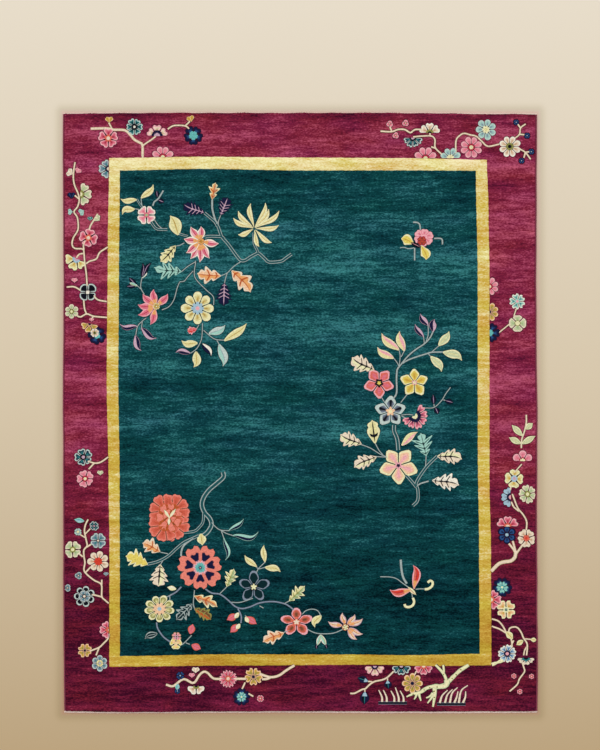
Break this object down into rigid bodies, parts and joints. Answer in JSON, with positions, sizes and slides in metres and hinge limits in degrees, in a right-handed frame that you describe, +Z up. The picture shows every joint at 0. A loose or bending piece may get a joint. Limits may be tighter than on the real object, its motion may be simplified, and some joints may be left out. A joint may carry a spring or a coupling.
{
  "type": "chinese art deco rug",
  "caption": "Flat rectangular hand-knotted wool rug with a pile body, overcast sides and narrow cotton end webs, lying on the floor.",
  "frame": {"origin": "on the floor, under the middle of the whole rug, webbed ends included", "axes": "+Z up from the floor, +Y along the rug towards the end shown at the top of the picture, +X across it to the right of the picture"},
  "size_m": [2.41, 3.05, 0.0115],
  "materials": {
    "wool_pile": "clipped wool pile with a soft silky sheen, dyed teal, gold and wine with other yarns in the flowers",
    "wool_overcast": "wine wool yarn wound closely round the edge warps",
    "cotton_web": "bleached cotton, flat woven"
  },
  "bodies": {
    "root": {"pile_carpet": "wool_pile", "side_overcast_left": "wool_overcast", "side_overcast_right": "wool_overcast", "end_web_low": "cotton_web", "end_web_high": "cotton_web"}
  },
  "joints": []
}
